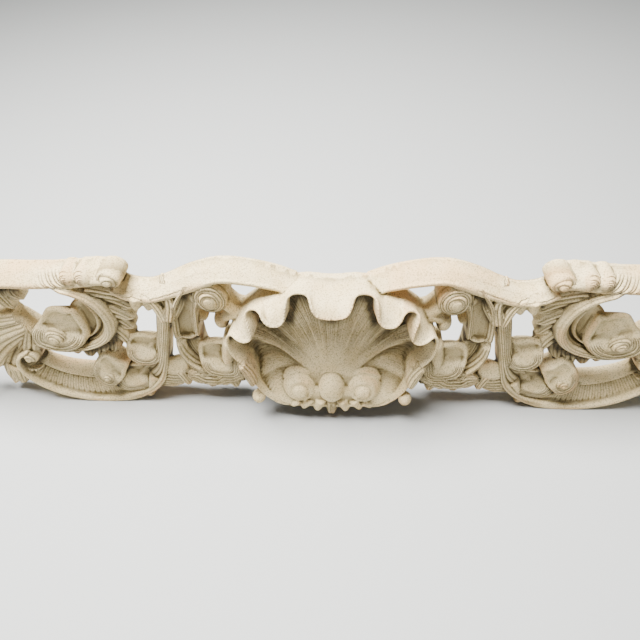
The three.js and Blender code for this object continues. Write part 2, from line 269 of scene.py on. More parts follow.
ribbon([[386, 280, 9], [356, 271, 13], [336, 254, 16], [327, 231, 17], [327, 207, 17], [335, 185, 16],
        [351, 167, 14], [374, 155, 12], [402, 149, 11], [430, 150, 9], [458, 156, 6]], c_scroll, 220, 56,
       cuts=lambda s, t: (4.8 * t + 0.7, (0.45 + 0.55 * step(s, 0.45, 0.7)) * (1 - step(t, 0.75, 0.85))))
ribbon([[176, 288, 8], [192, 268, 13], [204, 240, 17], [211, 206, 19], [215, 172, 19], [216, 140, 20],
        [208, 112, 20], [190, 92, 18]], side_scroll, 180, 56, cuts=side_scroll_cuts)

# %% Foot scroll
trough = section((-1, 0.80), (-0.93, 0.96), (-0.8, 1.0), (-0.66, 0.94), (-0.55, 0.76), (-0.3, 0.66),
                 (0, 0.50), (0.2, 0.40), (0.3, 0.48), (0.55, 0.46), (0.8, 0.34), (1, 0.16))
stem = section((-1, 0.70), (-0.8, 0.92), (-0.4, 1.0), (0.1, 0.93), (0.5, 0.82), (0.85, 0.66), (1, 0.42))


def foot_scroll(s, t):
    """A blend from the stem to the trough. The stem has four grooves along it, the scoop near it has
    rings that follow its lower rim, and the trough has slanted ribs in its floor."""
    wide = step(s, 0.30, 0.5)
    long_grooves = 3.8 * furrows(1.9 * t + 0.2 - 0.6 * s) * (1 - step(s, 0.36, 0.52)) * step(s, 0.0, 0.06)
    slanted = 1.2 * furrows((s - 0.012 * t) * 62, 0.8) * step(s, 0.60, 0.64) * (1 - step(s, 0.88, 0.91))
    slanted = slanted * step(t, -0.6, -0.45) * (1 - step(t, 0.16, 0.34))
    rings = 3.4 * furrows(3.6 * (t + 1) - 6 * (s - 0.45)) * (1 - step(t, -0.5, -0.1))
    rings = rings * bump(s, 0.535, 0.075)
    rise = 0.50 + 0.50 * step(s, 0, 0.10)
    return SCROLL * rise * (stem(t) * (1 - wide) + trough(t) * wide) - long_grooves - slanted - rings


def foot_scroll_cuts(s, t):
    """Lines along the stem and the scoop, then short ones across the trough's floor."""
    across = step(t, -0.6, -0.45) * (1 - step(t, 0.2, 0.4)) * (1 - step(s, 0.88, 0.91))
    return (np.where(s < 0.58, 3.8 * t + 0.4 - 1.2 * s, (s - 0.012 * t) * 124),
            np.where(s < 0.58, 0.9 * (1 - step(s, 0.54, 0.58)), 0.5 * across * step(s, 0.6, 0.62)))


ribbon([[224, 276, 11], [235, 240, 12], [245, 205, 12], [255, 170, 11], [265, 138, 12], [278, 108, 17],
        [300, 76, 28], [335, 48, 35], [376, 34, 37], [420, 33, 36], [460, 47, 32], [488, 76, 24],
        [492, 108, 16], [470, 134, 10]], foot_scroll, 420, 64, cuts=foot_scroll_cuts)
print("with the scrolls:", len(pieces), "skins")

# %% [markdown]
# ## Leaf fingers
# Each acanthus finger is a rounded lobe with one or two grooves along it and a round tip that droops.
# All of them are the same function with other points, so a fan of fingers is only a list.

# %% A finger
BLUNT = 0.62
CROWN = 0.30
FURROW = 3.4


def finger(points, depth, tip_share, lines, grow=1.0):
    """A lobe along root, middle and tip: the front is domed across by a share CROWN, changes height by
    the tip's share and droops at the end. The furrows along it fade before the tip. The tip is never
    narrower than a share BLUNT of the middle."""
    x, z, half = np.asarray(points, float).T
    half = np.maximum(half * grow, [0, 0, BLUNT * half[1] * grow])
    rows = np.stack([x, z, half], axis=1)

    def front(s, t):
        dome = 1 - CROWN * np.abs(t) ** 2.2
        furrow = furrows((t + 1) * (lines + 1) / 2) * (1 - 0.75 * step(s, 0.75, 1)) * step(s, -0.1, 0.2)
        droop = 0.16 * step(s, 0.8, 1)
        return depth * ((1 + (tip_share - 1) * s) * dome - droop) - FURROW * furrow * (lines > 0)

    def cuts(s, t):
        strength = 0.9 * (lines > 0) * (1 - step(s, 0.8, 1)) * (1 - step(np.abs(t), 0.8, 1))
        return (t + 1) * (lines + 1), strength

    ribbon(rows, front, 44, 36, (0, 0.35), cuts)


# %% Fingers, tips and hanging leaves
BAND_TIPS = [
    [[268, 262, 10], [271, 249, 10], [273, 236, 7]], [[252, 262, 10], [255, 246, 10], [258, 230, 7]]]
INNER_FAN = [
    [[334, 272, 12], [306, 262, 12], [274, 247, 5]], [[334, 256, 13], [309, 242, 13], [285, 225, 5]],
    [[328, 236, 13], [309, 223, 12], [289, 204, 5]], [[328, 216, 13], [313, 200, 12], [299, 178, 5]],
    [[326, 192, 12], [318, 170, 11], [313, 145, 5]], [[334, 170, 11], [340, 146, 10], [349, 120, 5]],
    [[354, 154, 11], [364, 130, 10], [372, 106, 6]], [[376, 148, 11], [388, 127, 10], [392, 104, 6]],
    [[392, 150, 9], [402, 134, 8], [410, 117, 4]]]
SKIRT = [
    [[248, 86, 10], [244, 60, 9], [241, 41, 4]], [[229, 86, 11], [224, 60, 10], [220, 44, 4]],
    [[208, 86, 11], [203, 56, 11], [199, 35, 4]], [[192, 84, 11], [183, 54, 11], [179, 33, 5]],
    [[173, 86, 11], [164, 56, 10], [160, 35, 5]], [[155, 90, 11], [151, 67, 10], [147, 50, 5]]]
HANGERS = [
    [[296, 66, 9], [308, 44, 8], [314, 30, 6]], [[134, 224, 12], [146, 220, 10], [156, 212, 8]],
    [[108, 58, 12], [118, 46, 11], [124, 38, 8]]]
STEM_FAN = [
    [[236, 222, 7], [243, 246, 8], [254, 262, 6]], [[233, 222, 7], [233, 248, 8], [240, 268, 6]],
    [[229, 222, 7], [222, 248, 8], [222, 272, 6]], [[226, 220, 6], [212, 246, 7], [202, 266, 5]]]
CURL_TIPS = [
    [[170, 276, 10], [189, 256, 7], [184, 240, 3]], [[194, 212, 8], [186, 211, 7], [179, 209, 4]],
    [[152, 250, 10], [137, 230, 10], [119, 227, 10]]]
FLARE = [
    [[452, 186, 12], [481, 136, 18], [505, 92, 12]], [[446, 186, 14], [514, 102, 24], [564, 19, 5]],
    [[450, 194, 14], [526, 144, 27], [597, 56, 6]], [[460, 206, 12], [542, 172, 23], [620, 92, 6]],
    [[522, 86, 16], [534, 54, 13], [538, 28, 4]], [[498, 86, 14], [513, 58, 11], [519, 38, 4]]]
END_TIPS = [
    [[560, 250, 12], [588, 258, 10], [612, 264, 4]], [[592, 212, 12], [620, 219, 11], [641, 220, 4]],
    [[610, 168, 12], [636, 167, 10], [655, 161, 4]], [[440, 284, 12], [453, 256, 14], [440, 238, 4]],
    [[470, 286, 12], [470, 250, 16], [463, 220, 5]], [[528, 270, 12], [522, 232, 14], [500, 194, 8]],
    [[566, 246, 11], [560, 206, 12], [548, 160, 12]]]
ALTERNATE = 0.06  # every second finger stands further out by this share, and the others back
for rows, depth, share, lines, grow in [
        (BAND_TIPS, 38, 0.92, 0, 1.0), (INNER_FAN, 31, 0.86, 1, 1.3), (SKIRT, 38, 0.9, 1, 1.1),
        (HANGERS, 36, 0.95, 0, 1.0), (CURL_TIPS, 33, 0.85, 0, 1.0), (STEM_FAN, 42, 0.80, 1, 1.3),
        (FLARE, 36, 0.8, 2, 1.1), (END_TIPS, 27, 0.89, 2, 1.0)]:
    for number, row in enumerate(rows):
        finger(row, depth * (1 + ALTERNATE * (-1) ** number), share, lines, grow)


def wavy_skirt(s, t):
    """A plain front with five furrows along it that wave up and down."""
    wave = 0.30 * np.sin(2 * np.pi * 2.1 * s) + 0.16 * np.sin(2 * np.pi * 4.3 * s + 1)
    return 41 - 4 * t * t - 4.2 * furrows(2.6 * t + wave + 0.2)


def wavy_skirt_cuts(s, t):
    """Twice as many fine lines as furrows, waving with them."""
    wave = 0.6 * np.sin(2 * np.pi * 2.1 * s) + 0.32 * np.sin(2 * np.pi * 4.3 * s + 1)
    return 5.2 * t + wave + 0.4, 0.9


ribbon([[146, 92, 16], [166, 80, 22], [190, 74, 26], [212, 76, 24], [232, 88, 15]], wavy_skirt, 110, 60,
       (0.1, 0.1), wavy_skirt_cuts)
print("with the fingers:", len(pieces), "skins")

# %% [markdown]
# ## Smooth leaves and curls
# The leaves beside the scrolls are smooth swellings or shallow cups. Each is drawn on a polar grid: rings
# that shrink from the outline to its middle, with a depth for every share out and every direction. A
# curl seen end on is the same form with a spiral groove.

# %% Swellings on polar grids
LEAN = 0.34
UNCUT = 999.0  # further out than any leaf reaches, so no arcs are cut


def swelling(outline, depth_at, lean=0.0, rings=26, around=96, sides=(1, -1), cuts=None):
    """Rings of a closed outline drawn in to its middle by a share r: depth_at(r, turn) is the front and
    cuts(r, turn) its fine lines. Where it leans, the outline at the back is lowered towards its foot."""
    edge = smooth_path(outline, around, closed=True)
    middle = edge.mean(0)
    turn = np.arctan2(edge[:, 1] - middle[1], edge[:, 0] - middle[0])
    r = np.cos(np.linspace(0, np.pi / 2, rings))[:, None]
    r = np.maximum(r, 0.02)
    out = middle[0] + (edge[:, 0] - middle[0]) * r
    up = middle[1] + (edge[:, 1] - middle[1]) * r
    face = np.stack([out, np.broadcast_to(depth_at(r, turn[None, :]), out.shape), up], axis=-1)
    foot = edge[:, 1].min()
    back = np.stack([edge[:, 0], np.zeros(around), edge[:, 1] - lean * (edge[:, 1] - foot)], axis=-1)
    phase, strength = cuts(r, turn[None, :]) if cuts else (0, 0)
    lines = np.stack([np.broadcast_to(value, out.shape) for value in (phase, strength)], axis=-1)
    skin(np.concatenate([back[None], face]), sides, np.concatenate([lines[:1] * [1, 0], lines]))


ARC_PITCH = 9
ARC_DEEP = 3.2


def leaf(outline, edge, middle, heart=(0, 0), start=UNCUT, lean=LEAN):
    """A smooth leaf: full at the edge, swelling to the middle. From a distance start out of its heart,
    a point of the panel, it is cut in arcs, one every pitch, with a fine line between two."""
    edge_points = smooth_path(outline, 96, closed=True)
    middle_point = edge_points.mean(0)

    def away(r):
        return np.hypot(*(middle_point + (edge_points - middle_point) * r[..., None] - heart).T).T

    def depth_at(r, turn):
        swell = edge + (middle - edge) * (1 - r ** 2.6) - 0.08 * step(r, 0.93, 1.0)
        distance = away(r)
        arcs = ARC_DEEP * furrows((distance - start) / ARC_PITCH) * step(distance, start - 2, start + 5)
        return SCROLL * swell - arcs

    def cuts(r, turn):
        distance = away(r)
        return 2 * (distance - start) / ARC_PITCH, step(distance, start - 2, start + 2)

    swelling(outline, depth_at, lean, cuts=cuts)


def bowl(outline, dip, rim, low, lines, lean=LEAN):
    """A leaf like a shallow cup: a smooth dip below a low crest at its top edge and, towards the low
    side, a direction in degrees, a thick rim with lines that follow the outline."""
    def along(r, turn):
        return r * np.cos(turn - np.radians(low))

    def depth_at(r, turn):
        thick = step(along(r, turn), -0.35, 0.5)
        swell = dip + (rim - dip) * thick - 0.10 * step(r, 0.86, 1) * thick - 0.06 * step(r, 0.9, 1)
        swell = swell + 0.05 * bump(r, 0.9, 0.1) * (1 - thick)
        ribs = ARC_DEEP * furrows(lines * r) * step(along(r, turn), 0.05, 0.3) * step(r, 0.5, 0.6)
        return SCROLL * swell - ribs

    def cuts(r, turn):
        return 2.5 * lines * r + 0 * turn, step(along(r, turn), 0.0, 0.25) * step(r, 0.45, 0.55)

    swelling(outline, depth_at, lean, cuts=cuts)


def ellipse(x, z, across, up):
    """Twelve points round an ellipse in the panel's plane."""
    turn = np.arange(12) * np.pi / 6
    return np.stack([x + across * np.cos(turn), z + up * np.sin(turn)], axis=1)


EYE = 0.22


def curl(x, z, across, up, depth, turns, cut):
    """A drum with a spiral groove: the groove lies where turns times the share out, less the angle in
    whole turns, is a whole number. It starts outside the eye, a share EYE of the whole, which stands
    out because the front falls off with the share out to the power 1.6."""
    def depth_at(r, turn):
        spiral = furrows(turns * r - turn / (2 * np.pi), 0.9) * step(r, EYE, EYE + 0.12)
        return depth * (1.05 - 0.26 * r ** 1.6 - 0.12 * step(r, 0.86, 1)) - cut * spiral

    swelling(ellipse(x, z, across, up), depth_at, rings=40,
             cuts=lambda r, turn: (2 * turns * r + 0 * turn, step(r, 0.2, 0.4)))


# %% Leaves
bowl([[366, 174], [360, 204], [362, 236], [372, 236], [384, 242], [402, 238], [424, 212], [446, 187],
      [452, 158], [420, 142], [386, 152]], 0.78, 1.02, -70, 5)
leaf([[334, 178], [331, 206], [338, 236], [352, 248], [370, 238], [384, 214], [384, 188], [360, 166]],
     0.56, 0.56, lean=0.1)
bowl([[254, 176], [272, 170], [284, 174], [304, 172], [317, 152], [321, 128], [310, 108], [286, 106],
      [264, 128]], 0.62, 0.94, -75, 5)
leaf([[234, 118], [262, 114], [281, 78], [298, 46], [293, 34], [264, 36], [242, 54], [232, 84]],
     0.74, 0.90, (254, 124), 38)
bowl([[143, 150], [150, 168], [168, 165], [186, 168], [204, 156], [209, 118], [200, 88], [172, 78],
      [146, 88]], 0.70, 1.02, -95, 5)
bowl([[358, 88], [330, 90], [302, 98], [276, 108], [282, 72], [300, 44], [330, 26], [362, 22], [374, 50]],
     0.54, 0.86, -75, 6, 0.1)
bowl([[354, 134], [341, 114], [328, 105], [338, 84], [352, 60], [374, 44], [390, 60], [390, 90],
      [374, 118]], 0.80, 1.06, -20, 5, 0.1)

# %% Curls and rolls
SHELL = 75.0
curl(292, 295, 17, 15, 0.98 * SCROLL, 1.5, 6.0)


def folded(r, turn):
    """A lump with arcs cut in its outer side, as a fold of drapery."""
    return SCROLL * (0.94 - 0.26 * r ** 3) - 3.6 * furrows(2.7 * r + 0.5) * step(np.cos(turn), -0.5, 0.3)


def folded_cuts(r, turn):
    """Twice as many fine arcs on the same side."""
    return 5.4 * r, step(np.cos(turn), -0.6, 0.2)


for x, z, across, up in [(326, 295, 13, 13), (347, 296, 12, 11)]:
    swelling(ellipse(x, z, across, up), folded, cuts=folded_cuts)
curl(165, 261, 25, 30, SCROLL, 3.6, 4.2)
curl(411, 180, 19, 18, 1.14 * SCROLL, 2.4, 4.4)
curl(369, 76, 13, 14, 1.10 * SCROLL, 1.8, 4.8)
finger([[155, 172, 8], [158, 144, 11], [166, 112, 9]], 46, 0.97, 0)
curl(478, 124, 13, 15, 1.05 * SCROLL, 1.6, 4.0)
curl(618, 112, 22, 22, 0.95 * SCROLL, 2.4, 4.0)
finger([[133, 154, 8], [126, 126, 12], [119, 94, 9]], SHELL, 0.98, 3)


def drop(x, z, across, up, depth):
    """A lobe with a round front: its depth is 0.6 of the whole and 0.4 times a half circle."""
    swelling(ellipse(x, z, across, up),
             lambda r, turn: depth * (0.6 + 0.4 * np.sqrt(1 - 0.99 * r * r)) + 0 * turn)


drop(318, 20, 9, 17, 38)
drop(160, 206, 11, 15, 34)
drop(129, 33, 12, 17, 50)
print("with leaves and curls:", len(pieces), "skins")

# %% [markdown]
# ## The scallop shell
# The shell is a basin with a thick waved lip: round tongues hang forward between arched mouths, and
# flutes run from the mouths down to the hinge. A carver would first draw the lip's front edge, so the
# edge is one closed curve in space. From each of its points one curve runs back over the lip to the
# wall, and another down under the lip and along the floor to the hinge.

# %% The lip's edge
HINGE = 100.0
HINGE_RING = 34.0
# One half of the edge as out, up and depth, from the middle tongue over the mouths down to the rim.
EDGE = np.array([
    [0, 268, 74], [13, 270, 74], [20, 274, 73], [24, 281, 70], [26, 286, 64], [29, 289, 57], [34, 290, 51],
    [44, 289, 48], [53, 288, 51], [58, 285, 57], [60, 280, 63], [61, 271, 68], [63, 260, 72], [70, 253, 74],
    [81, 253, 74], [88, 260, 72], [92, 266, 67], [97, 266, 60], [103, 263, 54], [110, 260, 52],
    [115, 256, 55], [116, 248, 60], [113, 239, 65], [111, 228, 69], [111, 220, 71], [118, 215, 72],
    [127, 215, 70], [134, 217, 66], [139, 218, 62], [145, 212, 60], [148, 201, 61], [147, 186, 64],
    [142, 171, 66], [134, 158, 67], [126, 143, 66], [121, 122, 66], [117, 96, 66], [105, 72, 68],
    [86, 53, 70], [64, 43, 69], [46, 40, 66], [26, 39, 62], [0, 39, 61]], float)
# How far the wall lies from the hinge, by angle from the top.
WALL = np.array([[0, 180], [13, 187], [28, 187], [40, 184], [52, 177], [62, 169], [71, 158], [80, 146],
                 [92, 128], [105, 110], [119, 92], [140, 72], [160, 56], [180, 52]])
# Flutes of the floor: 1 on a ridge and -1 in a valley, by angle from the top.
FLUTES = np.array([[0, 1], [13.5, -1], [25, 1], [35, -1], [45, 1], [55, -1], [66, 0.9], [77, -0.7],
                   [88, 0.6], [100, -0.4], [115, 0], [400, 0]])


def eased(table, degrees):
    """The columns of a table between its rows, by an S of half a cosine."""
    k = np.clip(np.searchsorted(table[:, 0], degrees) - 1, 0, len(table) - 2)
    share = (degrees - table[k, 0]) / (table[k + 1, 0] - table[k, 0])
    ease = 0.5 - 0.5 * np.cos(np.pi * share)
    return np.moveaxis(table[k, 1:] + (table[k + 1, 1:] - table[k, 1:]) * ease[..., None], -1, 0)


# %% The basin
def shell(around=1400, along=150):
    """For each point of the edge a smooth curve through thirteen places: wall, lip and floor, with v
    counting the places from 0. The wall leans into the edge by the fourth power of the share of depth.
    Flutes are added to the floor: they bow upwards half way out at the sides. Fine lines cross the
    lip's edge and run down the floor."""
    half = np.vstack([EDGE, (EDGE * [-1, 1, 1])[-2:0:-1]])
    x, z, edge = smooth_path(half, around, closed=True).T
    reach = np.hypot(x, z - HINGE)
    top = np.degrees(np.arctan2(np.abs(x), z - HINGE))
    away = np.stack([x, z - HINGE], -1) / reach[:, None]
    dx, dz = np.roll(x, -1) - np.roll(x, 1), np.roll(z, -1) - np.roll(z, 1)
    inward = np.stack([dz, -dx], -1) / np.hypot(dx, dz)[:, None]
    wall = eased(WALL, top)[0]
    down = step(top, 40, 125)

    def over(share):
        """A place on the outer wall, at this share of the edge's depth."""
        r = (wall + 7 * share * (1 - down)) * (1 - share ** 4) + reach * share ** 4
        return np.column_stack([away * r[:, None], edge * share])

    def beside(gap, share):
        """A place at a gap inwards from the edge, at this share of its depth."""
        return np.column_stack([away * reach[:, None] + inward * gap, edge * share])

    def basin(share, low, high):
        """A place on the floor, at a share of the reach: its depth is low at the top, high below."""
        return np.column_stack([away * (reach * share)[:, None], SHELL * (low + (high - low) * down)])

    places = [over(0.0), over(0.3), over(0.6), over(0.84), beside(-1.5, 0.965), beside(0.2, 1.0),
              beside(2.4, 0.96), beside(4.4, 0.84 + 0.13 * down), beside(7.5, 0.60 + 0.36 * down),
              basin(0.93, 0.16, 0.93), basin(0.84, 0.13, 0.90), basin(0.56, 0.24, 0.84),
              np.column_stack([away * HINGE_RING, SHELL * (0.62 + 0.18 * down)])]
    knots = np.stack(places)
    ext = np.concatenate([[2 * knots[0] - knots[1]], knots, [2 * knots[-1] - knots[-2]]])
    spans = len(knots) - 1
    v = np.linspace(0, spans, along)
    k = np.minimum(v.astype(int), spans - 1)
    u = (v - k)[:, None, None]
    a, b, c, d = ext[k], ext[k + 1], ext[k + 2], ext[k + 3]
    q = b + 0.5 * u * (c - a + u * (2 * a - 5 * b + 4 * c - d + u * (3 * b - a - 3 * c + d)))
    out = np.hypot(q[..., 0], q[..., 1]) / reach
    bowed = top + 14 * np.sin(np.pi * np.clip(out, 0, 1)) * step(top, 35, 75)
    streaks = 0.5 * np.sin(bowed * 2.1) + 0.4 * np.sin(bowed * 3.3 + 1) + 0.3 * np.sin(bowed * 5.1)
    inside = step(v, 8.3, 9.2)[:, None]
    flutes = eased(FLUTES, bowed)[0] + 0.16 * streaks * (1 - step(top, 100, 130))
    depth = q[..., 2] + (5.5 + 1.5 * step(top, 40, 60)) * step(out, 0.2, 0.85) * inside * flutes
    run = np.cumsum(np.hypot(dx, dz) / 2)
    on_floor = v[:, None] > 8.5
    phase = np.where(on_floor, bowed / 1.7 + 0.5 * np.sin(bowed * 0.8), run / 4.4 + 0 * out)
    faint = (0.12 + 0.3 * step(out, 0.25, 0.5)) * (1 - 0.5 * step(top, 55, 70))
    faint = faint * step(v, 8.6, 9.4)[:, None] * (1 - step(top, 96, 112))
    strokes = bump(v, 5.5, 1.2)[:, None] * step(edge, 54, 66) * (1 - step(top, 66, 74)) * 0.45
    strength = np.where(on_floor, faint, strokes * (1 - step(v, 8.0, 8.5)[:, None]))
    skin(np.stack([q[..., 0], depth, HINGE + q[..., 1]], -1), (1,), np.stack([phase, strength], -1))


shell()


# %% Ball, volutes and the leaf tips below
SNAIL_START = 2.4
SNAIL_GROWTH = 0.4
SNAIL_WIDTH = 6.5
EYE_RISE = 0.07


def ball(x, depth, z, radii, lean=0.0, eye=0.0, deep=0.0, sides=(1,)):
    """A ball with three radii (out, forward, up) whose front is turned up by lean degrees. A snail line,
    deep mm deep, is cut round its eye: it starts at the eye's angle from the front, in degrees, and lies
    further out by a share SNAIL_GROWTH after one turn. The eye stands out by a share EYE_RISE."""
    polar = np.linspace(0.03, np.pi - 0.03, 64)[:, None]
    turn = np.linspace(0, 2 * np.pi, 96, endpoint=False)[None, :]
    angle = np.degrees(polar)
    size = 1 + 0 * polar * turn
    if eye:
        turned = (turn + SNAIL_START) % (2 * np.pi)
        line = bump(angle, eye * (1 + SNAIL_GROWTH * turned / (2 * np.pi)), SNAIL_WIDTH)
        size = 1 - deep / radii[0] * line + EYE_RISE * (1 - step(angle, 0.6 * eye, eye))
    side = radii[0] * np.sin(polar) * np.cos(turn) * size
    forward = radii[1] * np.cos(polar) * size
    up = radii[2] * np.sin(polar) * np.sin(turn) * size
    tilt = np.radians(lean)
    rings = np.stack([x + side, depth + forward * np.cos(tilt) - up * np.sin(tilt),
                      z + forward * np.sin(tilt) + up * np.cos(tilt)], -1)
    skin(rings, sides)


ball(0, 51, 81, (22.5, 25, 33))
ball(50, 48, 81, (28, 25.5, 32), 10, 25, 4.6, (1, -1))
ball(117, 63, 64, (10.5, 12, 12), 20, 36, 1.8, (1, -1))


def scalloped(r, turn):
    """A flat disc with a thin raised line along its upper edge."""
    return 48 + 3 * bump(r, 0.88, 0.09) * step(np.sin(turn), -0.2, 0.3)


for x in (0, 50, -50):
    swelling(ellipse(x, 97 - 0.06 * abs(x), 27, 24), scalloped, sides=(1,))
swelling(ellipse(0, 66, 78, 25), lambda r, turn: 66 - 6 * r ** 4 + 0 * turn, sides=(1,))
BASE_TIPS = 0.985 * SHELL
for row in [[[17, 58, 13], [21, 43, 14], [25, 28, 12]], [[36, 58, 12], [42, 47, 13], [48, 35, 10]],
            [[52, 56, 10], [59, 50, 11], [66, 43, 8]]]:
    finger(row, BASE_TIPS, 0.97, 0)
finger([[0, 58, 13], [0, 38, 14], [0, 14, 11]], BASE_TIPS, 0.97, 1)
finger([[0, 40, 12], [0, 20, 12], [0, -4, 7]], 0.86 * SHELL, 0.95, 1)
print("all members:", len(pieces), "skins,", sum(len(piece[0]) for piece in pieces), "points")

# %% [markdown]
# ## One casting
# The members are only a drawing until they are one body. A voxel remesh melts them together, which also
# gives the soft inner corners that a cast has. Then the mesh is thinned to a size that the library takes.

# %% Melt the members together
VOXEL = 0.0016
TRIANGLES = 196000
SMOOTHING = 0.3


def mesh_of(name, points, tris):
    """A mesh from arrays of points in metres and triangles."""
    mesh = bpy.data.meshes.new(name)
    mesh.vertices.add(len(points))
    mesh.vertices.foreach_set("co", np.ascontiguousarray(points, np.float32).ravel())
    mesh.loops.add(tris.size)
    mesh.loops.foreach_set("vertex_index", np.ascontiguousarray(tris, np.int32).ravel())
    mesh.polygons.add(len(tris))
    mesh.polygons.foreach_set("loop_start", np.arange(0, tris.size, 3, dtype=np.int32))
    mesh.update()
    return mesh


def in_metres(points):
    """(out, depth, up) in millimetres before the flat back, turned into the part's own frame."""
    return np.stack([points[:, 0], BACK - points[:, 1], points[:, 2]], axis=1) / 1000


def modified(piece, kind, **settings):
    """Adds one modifier and keeps its result as the piece's mesh."""
    modifier = piece.modifiers.new(kind.title(), kind)
    for key, value in settings.items():
        setattr(modifier, key, value)
    shown = piece.evaluated_get(bpy.context.evaluated_depsgraph_get())
    result = bpy.data.meshes.new_from_object(shown)
    piece.modifiers.clear()
    piece.data = result
    return result


def with_lines(mesh, lines):
    """Keeps the phase and the strength of the fine lines as the red and green of a colour."""
    layer = mesh.color_attributes.new("lines", "FLOAT_COLOR", "POINT")
    colour = np.zeros((len(lines), 4), np.float32)
    colour[:, :2] = lines
    layer.data.foreach_set("color", colour.ravel())


starts = np.cumsum([0] + [len(p) for p, _, _ in pieces])
points = in_metres(np.concatenate([p for p, _, _ in pieces]))
tris = np.concatenate([t + start for (_, t, _), start in zip(pieces, starts)])
drawing = bpy.data.objects.new("drawing", mesh_of("drawing", points, tris))
with_lines(drawing.data, np.concatenate([fine for _, _, fine in pieces]))
carving = bpy.data.objects.new("carving", mesh_of("carving", points, tris))
bpy.context.scene.collection.objects.link(drawing)
bpy.context.scene.collection.objects.link(carving)
mesh = modified(carving, "REMESH", mode="VOXEL", voxel_size=VOXEL)
print("melted:", len(mesh.vertices), "points,", len(mesh.polygons), "faces")


# %% Smooth, trim the feet and thin
def arrays(mesh):
    """Points and triangles of a mesh as arrays."""
    mesh.calc_loop_triangles()
    points = np.empty(len(mesh.vertices) * 3, np.float32)
    mesh.vertices.foreach_get("co", points)
    tris = np.empty(len(mesh.loop_triangles) * 3, np.int32)
    mesh.loop_triangles.foreach_get("vertices", tris)
    return points.reshape(-1, 3).astype(float), tris.reshape(-1, 3)


def neighbour_mean(values, tris):
    """For each point the mean of the values at the points that share an edge with it."""
    a = np.concatenate([tris[:, 0], tris[:, 1], tris[:, 2]])
    b = np.concatenate([tris[:, 1], tris[:, 2], tris[:, 0]])
    count = np.bincount(a, minlength=len(values)) + np.bincount(b, minlength=len(values))
    sums = [np.bincount(a, v[b], len(values)) + np.bincount(b, v[a], len(values)) for v in values.T]
    return np.stack(sums, axis=1) / np.maximum(count, 1)[:, None]


points, tris = arrays(mesh)
lowest, highest = np.array(cad_box[0]), np.array(cad_box[1])
points += SMOOTHING * (neighbour_mean(points, tris) - points)
points = np.clip(points, lowest, highest)
carving.data = mesh_of("carving", points, tris)
mesh = modified(carving, "DECIMATE", ratio=min(1, TRIANGLES / len(tris)))
print("thinned:", len(mesh.vertices), "points,", len(mesh.polygons), "faces")

# %% Keep the one body and measure its hollows
points, tris = arrays(mesh)


def largest_body(points, tris):
    """Labels spread over edges until they settle; the body with the most points is kept."""
    label = np.arange(len(points))
    for _ in range(400):
        least = label[tris].min(axis=1)
        new = label.copy()
        for corner in range(3):
            np.minimum.at(new, tris[:, corner], least)
        new = new[new]
        if (new == label).all():
            break
        label = new
    keep = label == np.bincount(label).argmax()
    number = np.cumsum(keep) - 1
    return points[keep], number[tris[keep[tris[:, 0]]]], keep.sum()


before = len(points)
points, tris, kept = largest_body(points, tris)
print("one body of", kept, "points out of", before)


def point_normals(points, tris):
    """The mean of the faces round each point, weighted by area, at length 1."""
    face = np.cross(points[tris[:, 1]] - points[tris[:, 0]], points[tris[:, 2]] - points[tris[:, 0]])
    sums = np.stack([sum(np.bincount(tris[:, k], face[:, c], len(points)) for k in range(3))
                     for c in range(3)], axis=1)
    return sums / np.maximum(np.linalg.norm(sums, axis=1), 1e-12)[:, None]


def hollow(points, tris, rounds):
    """How far each point lies below the same surface after smoothing, in millimetres."""
    smooth = points.copy()
    for _ in range(rounds):
        smooth = neighbour_mean(smooth, tris)
    return np.einsum("ij,ij->i", smooth - points, point_normals(points, tris)) * 1000


fine = hollow(points, tris, 3)
broad = hollow(points, tris, 30)
for name, values in [("fine", fine), ("broad", broad)]:
    print(name, "hollows in mm:", np.percentile(values, [1, 50, 99]).round(2))

# %% Recesses and overhangs of the whole panel
CELL = 0.004
SPREAD = 60
REACH = 24


def front_grid(points):
    """The most forward depth in each cell of a grid over the panel, with an empty border, and the
    cell and the depth of each point."""
    column = ((points[:, 0] - lowest[0]) / CELL).astype(int) + 1
    line = ((points[:, 2] - lowest[2]) / CELL).astype(int) + 1
    depth = highest[1] - points[:, 1]
    front = np.zeros((column.max() + 2, line.max() + 2))
    np.maximum.at(front, (column, line), depth)
    return front, column, line, depth


def recess_map(points):
    """How far each point lies behind the panel's own front near it: the grid of fronts, spread by
    repeated means over its neighbours, less the point's depth, in millimetres."""
    front, column, line, depth = front_grid(points)
    filled = (front > 0).astype(float)
    for _ in range(SPREAD):
        for grid in (front, filled):
            grid[1:-1, 1:-1] = (grid[2:, 1:-1] + grid[:-2, 1:-1] + grid[1:-1, 2:] + grid[1:-1, :-2]) / 4
    near = front / np.maximum(filled, 1e-3)
    return (near[column, line] - depth) * 1000


def overhang(points):
    """How much of the sky the stone above a point hides: the greatest slope, as forward over up, from
    the point to a cell above it. It is 0 in the open and over 2 deep under the lip."""
    front, column, line, depth = front_grid(points)
    steepest = np.zeros(len(points))
    for k in range(2, REACH):
        above = np.minimum(line + k, front.shape[1] - 1)
        steepest = np.maximum(steepest, (front[column, above] - depth) / (k * CELL))
    return steepest


before_back = (highest[1] - points[:, 1]) > CELL
recess = recess_map(points) * before_back
upward = point_normals(points, tris)[:, 2]
shade = overhang(points) * before_back * (1 - step(upward, 0.1, 0.6))
for _ in range(5):
    shade = neighbour_mean(shade[:, None], tris)[:, 0]
for name, values in [("recess in mm:", recess), ("overhang as a slope:", shade)]:
    print(name, np.percentile(values, [1, 50, 99]).round(2))

